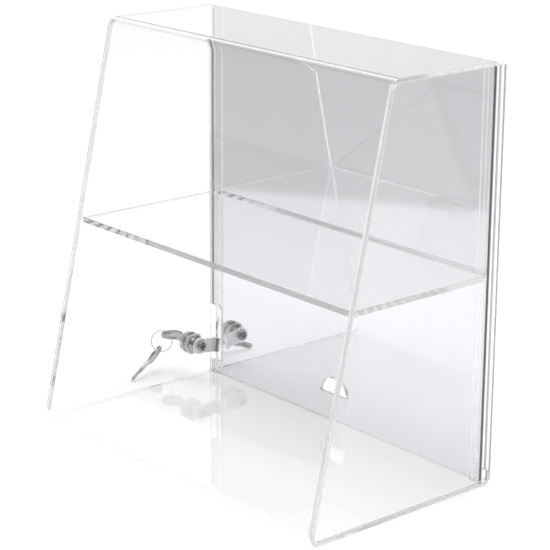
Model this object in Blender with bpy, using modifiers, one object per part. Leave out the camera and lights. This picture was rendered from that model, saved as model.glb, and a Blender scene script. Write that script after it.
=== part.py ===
"""Slant-fronted clear display case with a lift-out mirror door and a cam lock.

Frame: X runs across the width (lock on the -X side), +Y points to the rear
door and +Z is up.  The origin is the middle of the footprint, on the table.
"""
import math

import bmesh
import bpy
from mathutils import Matrix, Vector

# ---------------------------------------------------------------- dimensions
# Case
CASE_WIDTH = 0.356
CASE_HEIGHT = 0.356
BASE_DEPTH = 0.202          # front foot (corner before bending) to rear face
TOP_DEPTH = 0.123           # upper front corner (before bending) to rear face
SHEET = 0.005               # cast sheet of the side panels and the shelf
WRAP_SHEET = 0.003          # thinner sheet of the bent piece
BEND_RADIUS = 0.0105        # outside radius of the two front bends
LIP_HEIGHT = 0.012          # upturned rear edge of the bottom
LIP_RADIUS = 0.007
FIT = 0.0003                # joint line or running gap between two pieces

HALF_WIDTH = CASE_WIDTH / 2
INNER_X = HALF_WIDTH - SHEET
REAR = BASE_DEPTH / 2
FRONT_FOOT = -BASE_DEPTH / 2
FRONT_TOP = REAR - TOP_DEPTH

# Door and its guide strips
STRIP = 0.003
STRIP_WIDTH = 0.0089
DOOR_FRONT = REAR - 0.0101
DOOR_SHEET = 0.0027
BACKING = 0.0003
DOOR_SIDE_PLAY = 0.0008
DOOR_TOP = CASE_HEIGHT - 0.0025
REAR_STRIP_FRONT = REAR - 0.0052
FINGER_RADIUS = 0.015
FINGER_CENTRE = (-0.0045, 0.0280)     # middle of the flat side, x and z
NOTCH_DEPTH_X = 0.0115
NOTCH_BOTTOM = 0.0155
NOTCH_TOP = 0.0710
NOTCH_CHAMFER = 0.0045

# Shelf
SHELF_TOP = 0.1817
SHELF_FRONT_GAP = 0.0015

# Lock, measured along its axis from the outer face of the left panel
LOCK_Y = REAR - 0.0338
LOCK_Z = 0.0362
FLANGE_RADIUS = 0.0104
FLANGE_THICK = 0.0050
FLANGE_BEVEL = 0.0014
BARREL_RADIUS = 0.0080
BARREL_FLAT = 0.0070
BARREL_LENGTH = 0.0178
BORE_RADIUS = 0.0060
HOLE_CLEARANCE = 0.0003
NUT_ACROSS_FLATS = 0.018
NUT_THICK = 0.0035
PLUG_RADIUS = 0.0057
PLUG_PROUD = 0.0007
PLUG_LENGTH = 0.0202
KEYWAY_HALF = (0.0033, 0.0012)
SCREW_HOLE_RADIUS = 0.0023
SCREW_HOLE_DEPTH = 0.0026
CAM_THICK = 0.0020
CAM_HUB_RADIUS = 0.0076
CAM_HALF_WIDTH = 0.0068
CAM_REACH = 0.0208
CAM_LIP = 0.0055            # depth of the bent tip, plate included
CAM_BEND = 0.0020           # inside radius of the bend
CAM_LEAN = math.radians(-7.0)
WASHER_RADIUS = 0.0058
WASHER_THICK = 0.0008
SCREW_HEAD_RADIUS = 0.0048
SCREW_HEAD_THICK = 0.0024
SCREW_RADIUS = 0.0020

# Wafer tumblers
WAFER_COUNT = 4
WAFER_PITCH = 0.0026
WAFER_THICK = 0.0010
WAFER_FIRST = 0.0032        # plug face to the middle of the first wafer
WAFER_HALF = (0.0049, 0.0024)
WAFER_TAB = (0.0002, 0.0012, 0.0041)
SLOT_HALF_Z = 0.0028
SPRING_RADIUS = 0.00055
SPRING_WIRE = 0.00014
SPRING_Z = 0.0035
SPRING_TURNS = 4
POCKET_HALF = (0.0028, 0.0016)

# Keys and ring
BOW_RADIUS = 0.0105
BOW_THICK = 0.0024
BOW_HOLE_RADIUS = 0.0034
BOW_HOLE_OFFSET = 0.0064
NECK_HALF = 0.0040
SHOULDER = 0.0230           # bow middle to shoulder
BLADE_HALF = 0.0030
BLADE_THICK = 0.0018
BLADE_LENGTH = 0.0138
CUT_COUNT = 4
CUT_DEPTH = 0.0008
RING_RADIUS = 0.0100
RING_WIRE = 0.0005
RING_RISE = 0.0003          # above the middle of the bow where the ring passes
RING_NORMAL = Vector((0.7287, -0.6284, 0.2722)).normalized()
RING_HANG = Vector((-0.2214, -0.5924, -0.7746)).normalized()
SPARE_ON_RING = Vector((-0.019, -0.4155, -0.9094)).normalized()
SPARE_DIRECTION = Vector((0.2152, -0.8775, -0.3980)).normalized()
SPARE_ROLL = math.radians(12.0)

LOCK_FACE = -HALF_WIDTH - FIT - FLANGE_THICK
PLUG_FACE = LOCK_FACE - PLUG_PROUD
CAM_OUTER = PLUG_FACE + PLUG_LENGTH + FIT
BOW_X = PLUG_FACE - FIT - SHOULDER

ARC_STEPS = 8
ROUND_STEPS = 36

# Local axes (columns) of flat pieces drawn in a plane and thickened along local Z
FACING_X = Matrix(((0, 0, 1), (1, 0, 0), (0, 1, 0))).to_4x4()
FACING_Y = Matrix(((1, 0, 0), (0, 0, -1), (0, 1, 0))).to_4x4()
AXIS_OUTWARD = Matrix(((0, 0, -1), (0, 1, 0), (1, 0, 0))).to_4x4()


# ------------------------------------------------------------------- helpers
def clear_scene():
    """Remove every object so the part starts from nothing."""
    for obj in list(bpy.data.objects):
        bpy.data.objects.remove(obj, do_unlink=True)


def part_collection(name):
    """Return the collection that holds the finished pieces."""
    collection = bpy.data.collections.new(name)
    bpy.context.scene.collection.children.link(collection)
    return collection


def material(name, colour, roughness, metallic, alpha=1.0):
    """Make a plain surface with the given look."""
    made = bpy.data.materials.new(name)
    made.use_nodes = True
    shader = made.node_tree.nodes["Principled BSDF"]
    shader.inputs["Base Color"].default_value = (*colour, 1.0)
    shader.inputs["Roughness"].default_value = roughness
    shader.inputs["Metallic"].default_value = metallic
    shader.inputs["Alpha"].default_value = alpha
    return made


def rounded(points, radii, steps=ARC_STEPS):
    """Return a path whose corners are replaced by arcs of the given radii."""
    path = []
    count = len(points)
    for index, (corner, radius) in enumerate(zip(points, radii)):
        corner = Vector(corner)
        if radius <= 0.0:
            path.append(corner)
            continue
        back = (Vector(points[index - 1]) - corner).normalized()
        ahead = (Vector(points[(index + 1) % count]) - corner).normalized()
        half = back.angle(ahead) / 2
        centre = corner + (back + ahead).normalized() * radius / math.sin(half)
        start = corner + back * radius / math.tan(half) - centre
        end = corner + ahead * radius / math.tan(half) - centre
        sweep = start.angle(end)
        for step in range(steps + 1):
            share = step / steps
            weight_a = math.sin((1 - share) * sweep) / math.sin(sweep)
            weight_b = math.sin(share * sweep) / math.sin(sweep)
            path.append(centre + start * weight_a + end * weight_b)
    return path


def circle(centre, radius, steps=ROUND_STEPS, start=0.0, sweep=math.tau):
    """Return points round a circle, or along an arc of it."""
    full = abs(sweep - math.tau) < 1e-9
    count = steps if full else steps + 1
    return [Vector((centre[0] + radius * math.cos(start + sweep * k / steps),
                    centre[1] + radius * math.sin(start + sweep * k / steps)))
            for k in range(count)]


def double_d(radius, flat):
    """Return a circle cut by two flats that face local +Y and -Y."""
    reach = math.asin(flat / radius)
    right = circle((0, 0), radius, 12, -reach, 2 * reach)
    left = circle((0, 0), radius, 12, math.pi - reach, 2 * reach)
    return right + left


def shifted(points, x, y):
    """Return the points moved by x and y."""
    return [Vector((p[0] + x, p[1] + y)) for p in points]


def to_mesh(obj, name):
    """Replace an object by its evaluated, welded mesh in world coordinates."""
    graph = bpy.context.evaluated_depsgraph_get()
    graph.update()
    mesh = bpy.data.meshes.new_from_object(obj.evaluated_get(graph))
    mesh.transform(obj.matrix_world)
    work = bmesh.new()
    work.from_mesh(mesh)
    bmesh.ops.remove_doubles(work, verts=work.verts, dist=1e-6)
    bmesh.ops.recalc_face_normals(work, faces=work.faces)
    work.to_mesh(mesh)
    work.free()
    bpy.data.objects.remove(obj, do_unlink=True)
    made = bpy.data.objects.new(name, mesh)
    bpy.context.scene.collection.objects.link(made)
    return made


def flat_piece(name, outline, thickness, place, holes=()):
    """Thicken a drawn outline with its holes into one plate."""
    curve = bpy.data.curves.new(name, "CURVE")
    curve.dimensions = "2D"
    curve.fill_mode = "BOTH"
    curve.extrude = thickness / 2
    for loop in (outline, *holes):
        spline = curve.splines.new("POLY")
        spline.points.add(len(loop) - 1)
        for point, target in zip(loop, spline.points):
            target.co = (point[0], point[1], 0.0, 1.0)
        spline.use_cyclic_u = True
    obj = bpy.data.objects.new(name, curve)
    bpy.context.scene.collection.objects.link(obj)
    obj.matrix_world = place
    bpy.context.view_layer.update()
    return to_mesh(obj, name)


def block(name, low, high):
    """Make a box between two opposite corners."""
    low, high = Vector(low), Vector(high)
    bpy.ops.mesh.primitive_cube_add(size=1.0, location=(low + high) / 2)
    obj = bpy.context.object
    obj.scale = high - low
    bpy.context.view_layer.update()
    return to_mesh(obj, name)


def turned(name, profile, place, steps=ROUND_STEPS, closed=False):
    """Turn a profile (radius, height) round its axis with a Screw modifier."""
    mesh = bpy.data.meshes.new(name)
    count = len(profile)
    edges = [(k, k + 1) for k in range(count - 1)]
    if closed:
        edges.append((count - 1, 0))
    mesh.from_pydata([(r, 0.0, h) for r, h in profile], edges, [])
    obj = bpy.data.objects.new(name, mesh)
    bpy.context.scene.collection.objects.link(obj)
    screw = obj.modifiers.new("Turn", "SCREW")
    screw.axis = "Z"
    screw.angle = math.tau
    screw.steps = steps
    screw.render_steps = steps
    screw.use_merge_vertices = True
    screw.merge_threshold = 1e-5
    obj.matrix_world = place
    bpy.context.view_layer.update()
    return to_mesh(obj, name)


def combined(target, tools, operation):
    """Cut away or add closed solids, then discard them."""
    name = target.name
    for tool in tools:
        step = target.modifiers.new("Combine", "BOOLEAN")
        step.operation = operation
        step.solver = "EXACT"
        step.object = tool
    bpy.context.view_layer.update()
    target.name = name + "_raw"
    made = to_mesh(target, name)
    for tool in tools:
        bpy.data.objects.remove(tool, do_unlink=True)
    return made


def finish(obj, collection, surface):
    """Put a finished piece in the part's collection with its material."""
    for owner in list(obj.users_collection):
        owner.objects.unlink(obj)
    collection.objects.link(obj)
    obj.data.materials.clear()
    obj.data.materials.append(surface)
    return obj


def pivot(name, location, collection):
    """Add an empty on a joint's axis."""
    empty = bpy.data.objects.new(name, None)
    empty.location = location
    empty.empty_display_size = 0.01
    collection.objects.link(empty)
    return empty


def carry(parent, children):
    """Parent pieces to an empty without moving them."""
    bpy.context.view_layer.update()
    for child in children:
        child.parent = parent
        child.matrix_parent_inverse = parent.matrix_world.inverted()


# ---------------------------------------------------------------------- case
def front_inside(height):
    """Return the Y of the slanted front's inner face at a height."""
    rise = Vector((FRONT_TOP - FRONT_FOOT, CASE_HEIGHT))
    return (FRONT_FOOT + rise.x * height / CASE_HEIGHT
            + WRAP_SHEET * rise.length / rise.y)


def wrap_lines(inset):
    """Return the corners of the bent sheet's outline, moved inward by inset."""
    rise = Vector((FRONT_TOP - FRONT_FOOT, CASE_HEIGHT)).normalized()
    foot_shift = inset * (1 + rise.x) / rise.y
    top_shift = inset * (1 - rise.x) / rise.y
    return [Vector((REAR - inset, LIP_HEIGHT)),
            Vector((REAR - inset, inset)),
            Vector((FRONT_FOOT + foot_shift, inset)),
            Vector((FRONT_TOP + top_shift, CASE_HEIGHT - inset)),
            Vector((DOOR_FRONT - FIT, CASE_HEIGHT - inset))]


def bend_radii(inset):
    """Return the bend radius at each of those corners."""
    return [0.0, LIP_RADIUS - inset, BEND_RADIUS - inset, BEND_RADIUS - inset, 0.0]


def build_wrap():
    """Bend one sheet into rear lip, bottom, slanted front and top."""
    outer = rounded(wrap_lines(0.0), bend_radii(0.0))
    inner = rounded(wrap_lines(WRAP_SHEET), bend_radii(WRAP_SHEET))
    return flat_piece("wrap_sheet", outer + inner[::-1], CASE_WIDTH, FACING_X)


def build_side_panel(side):
    """Cut one side panel to the inside of the bent sheet."""
    inset = WRAP_SHEET + FIT
    lines = wrap_lines(inset)
    radii = bend_radii(inset)
    step = LIP_HEIGHT + FIT
    corners = ([Vector((REAR, step)), Vector((lines[0].x, step))] + lines[1:4]
               + [Vector((REAR, CASE_HEIGHT - inset))])
    outline = rounded(corners, [0.0, 0.0] + radii[1:4] + [0.0])
    name = "left_side_panel" if side < 0 else "right_side_panel"
    holes = []
    if side < 0:
        hole = double_d(BARREL_RADIUS + HOLE_CLEARANCE, BARREL_FLAT + HOLE_CLEARANCE)
        holes.append(shifted(hole, LOCK_Y, LOCK_Z))
    place = Matrix.Translation((side * (HALF_WIDTH - SHEET / 2), 0, 0)) @ FACING_X
    return flat_piece(name, outline, SHEET, place, holes)


def build_shelf():
    """Make the fixed half-height shelf between the side panels."""
    front = front_inside(SHELF_TOP) + SHELF_FRONT_GAP
    rear = DOOR_FRONT - 2 * FIT - STRIP
    reach = INNER_X - FIT
    return block("shelf", (-reach, front, SHELF_TOP - SHEET), (reach, rear, SHELF_TOP))


def build_strip(name, side, front, low):
    """Make one vertical guide strip of the door channel."""
    outer = side * (INNER_X - FIT)
    inner = side * (INNER_X - FIT - STRIP_WIDTH)
    top = CASE_HEIGHT - WRAP_SHEET - FIT
    return block(name, (min(outer, inner), front, low),
                 (max(outer, inner), front + STRIP, top))


# ---------------------------------------------------------------------- door
def door_outline():
    """Return the door's outline with the cam notch in its lock-side edge."""
    reach = INNER_X - DOOR_SIDE_PLAY
    low, high = WRAP_SHEET + FIT, DOOR_TOP
    inner = -reach + NOTCH_DEPTH_X
    return [Vector(p) for p in (
        (-reach, low), (reach, low), (reach, high), (-reach, high),
        (-reach, NOTCH_TOP), (inner - NOTCH_CHAMFER, NOTCH_TOP),
        (inner, NOTCH_TOP - NOTCH_CHAMFER), (inner, NOTCH_BOTTOM),
        (-reach, NOTCH_BOTTOM))]


def build_door_layer(name, front, thickness):
    """Make one layer of the door with its half-round finger hole."""
    finger = circle(FINGER_CENTRE, FINGER_RADIUS, 20, 0.0, math.pi)
    place = Matrix.Translation((0, front + thickness / 2, 0)) @ FACING_Y
    return flat_piece(name, door_outline(), thickness, place, [finger])


# ---------------------------------------------------------------------- lock
def lock_place(x):
    """Return the frame of a turned lock piece that starts at x, axis outward."""
    return Matrix.Translation((x, LOCK_Y, LOCK_Z)) @ AXIS_OUTWARD


def build_barrel():
    """Turn the flanged barrel and mill its two flats."""
    tail = LOCK_FACE + BARREL_LENGTH
    rim = BARREL_LENGTH - FLANGE_BEVEL
    profile = [(BORE_RADIUS, BARREL_LENGTH),
               (FLANGE_RADIUS - FLANGE_BEVEL, BARREL_LENGTH),
               (FLANGE_RADIUS, rim),
               (FLANGE_RADIUS, BARREL_LENGTH - FLANGE_THICK),
               (BARREL_RADIUS, BARREL_LENGTH - FLANGE_THICK),
               (BARREL_RADIUS, 0.0),
               (BORE_RADIUS, 0.0)]
    barrel = turned("lock_barrel", profile, lock_place(tail), closed=True)
    start = LOCK_FACE + FLANGE_THICK
    mills = []
    for sign in (-1, 1):
        near = LOCK_Z + sign * BARREL_FLAT
        far = LOCK_Z + sign * 2 * BARREL_FLAT
        mills.append(block("mill",
                           (start, LOCK_Y - BARREL_RADIUS * 1.2, min(near, far)),
                           (tail + SHEET, LOCK_Y + BARREL_RADIUS * 1.2, max(near, far))))
    return combined(barrel, mills, "DIFFERENCE")


def build_nut():
    """Cut the hexagon nut that clamps the barrel to the panel."""
    corner = NUT_ACROSS_FLATS / math.sqrt(3)
    outline = shifted(circle((0, 0), corner, 6), LOCK_Y, LOCK_Z)
    hole = circle((LOCK_Y, LOCK_Z), BARREL_RADIUS + HOLE_CLEARANCE)
    middle = -INNER_X + FIT + NUT_THICK / 2
    place = Matrix.Translation((middle, 0, 0)) @ FACING_X
    return flat_piece("lock_nut", outline, NUT_THICK, place, [hole])


def wafer_x(index):
    """Return the X of the middle of a wafer."""
    return PLUG_FACE + WAFER_FIRST + WAFER_PITCH * index


def build_plug():
    """Turn the plug, then cut its keyway, wafer slots and spring pockets."""
    inner_end = PLUG_FACE + PLUG_LENGTH
    profile = [(0.0, PLUG_LENGTH), (PLUG_RADIUS, PLUG_LENGTH), (PLUG_RADIUS, 0.0),
               (SCREW_HOLE_RADIUS, 0.0), (SCREW_HOLE_RADIUS, SCREW_HOLE_DEPTH),
               (0.0, SCREW_HOLE_DEPTH)]
    plug = turned("lock_plug", profile, lock_place(inner_end))
    cuts = [block("keyway",
                  (PLUG_FACE - FIT, LOCK_Y - KEYWAY_HALF[0], LOCK_Z - KEYWAY_HALF[1]),
                  (PLUG_FACE + BLADE_LENGTH + FIT, LOCK_Y + KEYWAY_HALF[0],
                   LOCK_Z + KEYWAY_HALF[1]))]
    half_slot = WAFER_THICK / 2 + FIT
    for index in range(WAFER_COUNT):
        x = wafer_x(index)
        cuts.append(block("slot",
                          (x - half_slot, LOCK_Y - PLUG_RADIUS * 1.1, LOCK_Z - SLOT_HALF_Z),
                          (x + half_slot, LOCK_Y + PLUG_RADIUS * 1.1, LOCK_Z + SLOT_HALF_Z)))
        cuts.append(block("pocket",
                          (x - half_slot, LOCK_Y - POCKET_HALF[0], LOCK_Z + SLOT_HALF_Z - FIT),
                          (x + half_slot, LOCK_Y + POCKET_HALF[0],
                           LOCK_Z + SLOT_HALF_Z + POCKET_HALF[1])))
    for cut in cuts:
        plug = combined(plug, [cut], "DIFFERENCE")
    return plug


def build_wafer(index):
    """Stamp one wafer: a window for the blade and a tab for its spring."""
    half_y, half_z = WAFER_HALF
    tab_low, tab_high, tab_top = WAFER_TAB
    outline = [Vector(p) for p in (
        (-half_y, -half_z), (half_y, -half_z), (half_y, half_z), (tab_high, half_z),
        (tab_high, tab_top), (tab_low, tab_top), (tab_low, half_z), (-half_y, half_z))]
    window = [Vector(p) for p in (
        (-KEYWAY_HALF[0], -KEYWAY_HALF[1]), (KEYWAY_HALF[0], -KEYWAY_HALF[1]),
        (KEYWAY_HALF[0], KEYWAY_HALF[1]), (-KEYWAY_HALF[0], KEYWAY_HALF[1]))]
    place = Matrix.Translation((wafer_x(index), LOCK_Y, LOCK_Z)) @ FACING_X
    return flat_piece(f"wafer_{index + 1}", outline, WAFER_THICK, place, [window])


def build_spring(index):
    """Coil the small spring that pushes a wafer's tab."""
    per_turn = 8
    start = -POCKET_HALF[0] + FIT + SPRING_WIRE
    length = WAFER_TAB[0] - FIT - SPRING_WIRE - start
    curve = bpy.data.curves.new("spring", "CURVE")
    curve.dimensions = "3D"
    curve.bevel_depth = SPRING_WIRE
    curve.bevel_resolution = 0
    curve.use_fill_caps = True
    spline = curve.splines.new("POLY")
    total = SPRING_TURNS * per_turn
    spline.points.add(total)
    for k in range(total + 1):
        turn = math.tau * k / per_turn
        spline.points[k].co = (SPRING_RADIUS * math.cos(turn),
                               start + length * k / total,
                               SPRING_RADIUS * math.sin(turn), 1.0)
    obj = bpy.data.objects.new("spring", curve)
    bpy.context.scene.collection.objects.link(obj)
    obj.location = (wafer_x(index), LOCK_Y, LOCK_Z + SPRING_Z)
    bpy.context.view_layer.update()
    return to_mesh(obj, f"wafer_spring_{index + 1}")


def build_cam():
    """Bend the cam: a round hub and a straight arm with its tip turned inward."""
    place = (Matrix.Translation((CAM_OUTER, LOCK_Y, LOCK_Z))
             @ Matrix.Rotation(CAM_LEAN, 4, "X"))
    hub_place = place @ Matrix.Translation((CAM_THICK / 2, 0, 0)) @ FACING_X
    cam = flat_piece("cam_plate", circle((0, 0), CAM_HUB_RADIUS), CAM_THICK, hub_place)
    inner = CAM_REACH - CAM_THICK
    corners = [Vector(p) for p in ((0, 0), (CAM_THICK, 0), (CAM_THICK, inner), (CAM_LIP, inner),
                                   (CAM_LIP, CAM_REACH), (0, CAM_REACH))]
    outline = rounded(corners, [0.0, 0.0, CAM_BEND, 0.0, 0.0, CAM_BEND + CAM_THICK])
    arm = flat_piece("cam_arm", outline, CAM_HALF_WIDTH * 2, place)
    cam = combined(cam, [arm], "UNION")
    hole = turned("hole", [(0.0, CAM_THICK), (SCREW_HOLE_RADIUS, CAM_THICK),
                           (SCREW_HOLE_RADIUS, -CAM_THICK), (0.0, -CAM_THICK)],
                  lock_place(CAM_OUTER + CAM_THICK / 2), 20)
    return combined(cam, [hole], "DIFFERENCE")


def build_washer():
    """Make the round washer under the cam screw."""
    start = CAM_OUTER + CAM_THICK + FIT
    place = Matrix.Translation((start + WASHER_THICK / 2, 0, 0)) @ FACING_X
    return flat_piece("cam_washer", circle((LOCK_Y, LOCK_Z), WASHER_RADIUS), WASHER_THICK,
                      place, [circle((LOCK_Y, LOCK_Z), SCREW_HOLE_RADIUS, 20)])


def build_screw():
    """Turn the cam screw and cut its cross recess."""
    seat = CAM_OUTER + CAM_THICK + WASHER_THICK + 2 * FIT
    reach = seat - (PLUG_FACE + PLUG_LENGTH - SCREW_HOLE_DEPTH) - FIT
    head = SCREW_HEAD_THICK
    profile = [(0.0, reach), (SCREW_RADIUS, reach), (SCREW_RADIUS, 0.0),
               (SCREW_HEAD_RADIUS, 0.0), (SCREW_HEAD_RADIUS, -head * 0.45),
               (SCREW_HEAD_RADIUS * 0.75, -head * 0.85), (0.0, -head)]
    screw = turned("cam_screw", profile, lock_place(seat), 28)
    end = seat + head
    arm, half = SCREW_HEAD_RADIUS * 0.66, SCREW_HEAD_RADIUS * 0.16
    depth = head * 0.6
    for size_y, size_z in ((arm, half), (half, arm)):
        slot = block("recess", (end - depth, LOCK_Y - size_y, LOCK_Z - size_z),
                     (end + depth, LOCK_Y + size_y, LOCK_Z + size_z))
        screw = combined(screw, [slot], "DIFFERENCE")
    return screw


# ---------------------------------------------------------------------- keys
def blade_outline():
    """Return the blade's outline with its V-shaped bitting on both edges."""
    tip = SHOULDER + BLADE_LENGTH
    root = SHOULDER - NECK_HALF
    spacing = BLADE_LENGTH * 0.8 / CUT_COUNT
    upper = [Vector((root, BLADE_HALF)), Vector((SHOULDER + spacing * 0.4, BLADE_HALF))]
    for k in range(CUT_COUNT):
        x = SHOULDER + spacing * (k + 0.9)
        depth = CUT_DEPTH * (1.0, 0.55, 0.85, 0.4)[k % 4]
        upper += [Vector((x, BLADE_HALF - depth)),
                  Vector((x + spacing * 0.45, BLADE_HALF))]
    upper += [Vector((tip - BLADE_HALF * 0.3, BLADE_HALF * 0.85)), Vector((tip, BLADE_HALF * 0.4))]
    lower = [Vector((p.x, -p.y)) for p in reversed(upper)]
    return (upper + lower)[::-1]


def build_key(name, place):
    """Make a key: round bow with neck, ring hole and a thinner blade."""
    lean = math.asin(NECK_HALF / BOW_RADIUS)
    bow = circle((0, 0), BOW_RADIUS, 28, lean, math.tau - 2 * lean)
    neck = [Vector((SHOULDER, -NECK_HALF)), Vector((SHOULDER, NECK_HALF))]
    hole = circle((-BOW_HOLE_OFFSET, 0), BOW_HOLE_RADIUS, 20)
    key = flat_piece(name, bow + neck, BOW_THICK, place, [hole])
    blade = flat_piece(name + "_blade", blade_outline(), BLADE_THICK, place)
    return combined(key, [blade], "UNION")


def frame_from(x_axis, z_axis, origin):
    """Return a placement with the given X and nearly the given Z direction."""
    x_axis = x_axis.normalized()
    y_axis = z_axis.cross(x_axis).normalized()
    z_axis = x_axis.cross(y_axis)
    matrix = Matrix((x_axis, y_axis, z_axis)).transposed().to_4x4()
    return Matrix.Translation(origin) @ matrix


def key_places():
    """Return the placements and pivots of both keys and the ring."""
    hole = Vector((BOW_X - BOW_HOLE_OFFSET, LOCK_Y, LOCK_Z + RING_RISE))
    ring_centre = hole + RING_HANG * RING_RADIUS
    spare_hole = ring_centre + SPARE_ON_RING * RING_RADIUS
    roll = Matrix.Rotation(SPARE_ROLL, 3, SPARE_DIRECTION)
    normal = roll @ SPARE_DIRECTION.cross(RING_NORMAL)
    spare_bow = spare_hole + SPARE_DIRECTION * BOW_HOLE_OFFSET
    return {
        "key": Matrix.Translation((BOW_X, LOCK_Y, LOCK_Z)),
        "hole": hole,
        "ring": ring_centre,
        "spare_hole": spare_hole,
        "spare": frame_from(SPARE_DIRECTION, normal, spare_bow),
    }


def build_ring(centre):
    """Form the round wire key ring."""
    bpy.ops.mesh.primitive_torus_add(major_radius=RING_RADIUS, minor_radius=RING_WIRE,
                                     major_segments=40, minor_segments=8)
    obj = bpy.context.object
    turn = Vector((0, 0, 1)).rotation_difference(RING_NORMAL)
    obj.matrix_world = Matrix.Translation(centre) @ turn.to_matrix().to_4x4()
    bpy.context.view_layer.update()
    return to_mesh(obj, "key_ring")


# ----------------------------------------------------------------------- all
def main():
    """Build every piece, give it its material and hang it on its joint."""
    clear_scene()
    home = part_collection("display_case")
    clear = material("clear_acrylic", (0.93, 0.95, 0.95), 0.03, 0.0, 0.25)
    mirror = material("mirror_acrylic", (0.86, 0.88, 0.90), 0.02, 0.0, 0.4)
    silver = material("mirror_backing", (0.80, 0.82, 0.84), 0.05, 1.0)
    chrome = material("nickel_plate", (0.62, 0.62, 0.63), 0.22, 1.0)
    zinc = material("zinc_plate", (0.70, 0.71, 0.72), 0.35, 1.0)
    brass = material("brass", (0.72, 0.58, 0.30), 0.35, 1.0)
    steel = material("spring_steel", (0.45, 0.45, 0.47), 0.40, 1.0)

    front_y = DOOR_FRONT - FIT - STRIP
    rear_low = LIP_HEIGHT + FIT
    case = [build_wrap(), build_side_panel(-1), build_side_panel(1), build_shelf(),
            build_strip("left_front_strip", -1, front_y, WRAP_SHEET + FIT),
            build_strip("right_front_strip", 1, front_y, WRAP_SHEET + FIT),
            build_strip("left_rear_strip", -1, REAR_STRIP_FRONT, rear_low),
            build_strip("right_rear_strip", 1, REAR_STRIP_FRONT, rear_low)]
    for piece in case:
        finish(piece, home, clear)

    door = finish(build_door_layer("mirror_door", DOOR_FRONT, DOOR_SHEET), home, mirror)
    coat_front = DOOR_FRONT + DOOR_SHEET + FIT
    coat = finish(build_door_layer("mirror_backing", coat_front, BACKING), home, silver)

    finish(build_barrel(), home, chrome)
    finish(build_nut(), home, chrome)
    plug = finish(build_plug(), home, brass)
    cam = finish(build_cam(), home, zinc)
    washer = finish(build_washer(), home, zinc)
    screw = finish(build_screw(), home, chrome)
    wafers = [finish(build_wafer(k), home, brass) for k in range(WAFER_COUNT)]
    springs = [finish(build_spring(k), home, steel) for k in range(WAFER_COUNT)]

    places = key_places()
    key = finish(build_key("key_in_lock", places["key"]), home, chrome)
    ring = finish(build_ring(places["ring"]), home, steel)
    spare = finish(build_key("spare_key", places["spare"]), home, chrome)

    door_pivot = pivot("door_slide_axis", (0, DOOR_FRONT, WRAP_SHEET + FIT), home)
    lock_pivot = pivot("lock_turn_axis", (PLUG_FACE, LOCK_Y, LOCK_Z), home)
    key_pivot = pivot("key_slide_axis", (BOW_X, LOCK_Y, LOCK_Z), home)
    ring_pivot = pivot("ring_swing_axis", places["hole"], home)
    spare_pivot = pivot("spare_key_swing_axis", places["spare_hole"], home)
    carry(door_pivot, [door, coat])
    carry(lock_pivot, [plug, cam, washer, screw, key_pivot, *wafers, *springs])
    carry(key_pivot, [key, ring_pivot])
    carry(ring_pivot, [ring, spare_pivot])
    carry(spare_pivot, [spare])


main()
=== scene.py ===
"""Looks of a slant-fronted clear display case with a mirror door and a cam lock.

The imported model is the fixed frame.  Every visible piece is modelled here at the
size and place of its node, dressed with its own finish, and rides on its body.
"""
from __future__ import annotations

import logging
import math
from dataclasses import dataclass
from enum import Enum
from functools import cache
from typing import Callable, Iterable

import bpy
from mathutils import Matrix, Vector


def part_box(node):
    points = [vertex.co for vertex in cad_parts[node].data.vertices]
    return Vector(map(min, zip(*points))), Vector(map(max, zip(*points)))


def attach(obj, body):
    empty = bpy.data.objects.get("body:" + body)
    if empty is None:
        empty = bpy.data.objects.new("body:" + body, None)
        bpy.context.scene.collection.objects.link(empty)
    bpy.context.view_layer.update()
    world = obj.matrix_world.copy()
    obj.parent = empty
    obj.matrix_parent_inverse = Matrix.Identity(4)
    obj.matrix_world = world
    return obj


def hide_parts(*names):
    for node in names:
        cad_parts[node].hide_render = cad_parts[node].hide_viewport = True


LOG = logging.getLogger("display_case")
Point = tuple[float, float, float]
Colour = tuple[float, float, float]
Profile = list[tuple[float, float]]
Piece = bpy.types.Object
Socket = bpy.types.NodeSocket
PairTest = Callable[[Vector, Vector], bool]

SMALL = 1e-5
AXIS_X = Vector((1.0, 0.0, 0.0))
AXIS_Y = Vector((0.0, 1.0, 0.0))
AXIS_Z = Vector((0.0, 0.0, 1.0))
INWARD = Matrix(((0, 0, 1), (1, 0, 0), (0, 1, 0))).to_4x4()       # local Z along +X
OUTWARD = Matrix(((0, 0, -1), (0, 1, 0), (1, 0, 0))).to_4x4()     # local Z along -X
FACING = 0.5                # least share of a normal for a face to look that way


class Body(Enum):
    """The moving bodies that a piece can ride on."""

    CASE = "case"
    DOOR = "door"
    LOCK = "lock_cylinder"
    KEY = "key"
    RING = "ring"
    SPARE = "spare"


class Slot(Enum):
    """The record's material slots."""

    CLEAR = "clear_acrylic"
    DOOR = "door_acrylic"
    MIRROR = "mirror_coat"
    NICKEL = "nickel_plate"
    ZINC = "zinc_plate"
    BRASS = "brass"
    STEEL = "spring_steel"


# --- modelling
def unit(point: Point) -> Vector:
    """Return a direction as a vector of length one."""
    return Vector(point).normalized()


def deselect_all() -> None:
    """Leave edit mode and clear the selection."""
    if bpy.context.mode != "OBJECT":
        bpy.ops.object.mode_set(mode="OBJECT")
    bpy.ops.object.select_all(action="DESELECT")


def make_active(obj: Piece) -> None:
    """Select one object alone and make it active."""
    deselect_all()
    obj.select_set(True)
    bpy.context.view_layer.objects.active = obj


def named(name: str) -> Piece:
    """Name the active object and its mesh, and bake its place into the mesh."""
    obj = bpy.context.object
    obj.name = name
    obj.data.name = name
    make_active(obj)
    bpy.ops.object.transform_apply(location=True, rotation=True, scale=True)
    return obj


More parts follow.
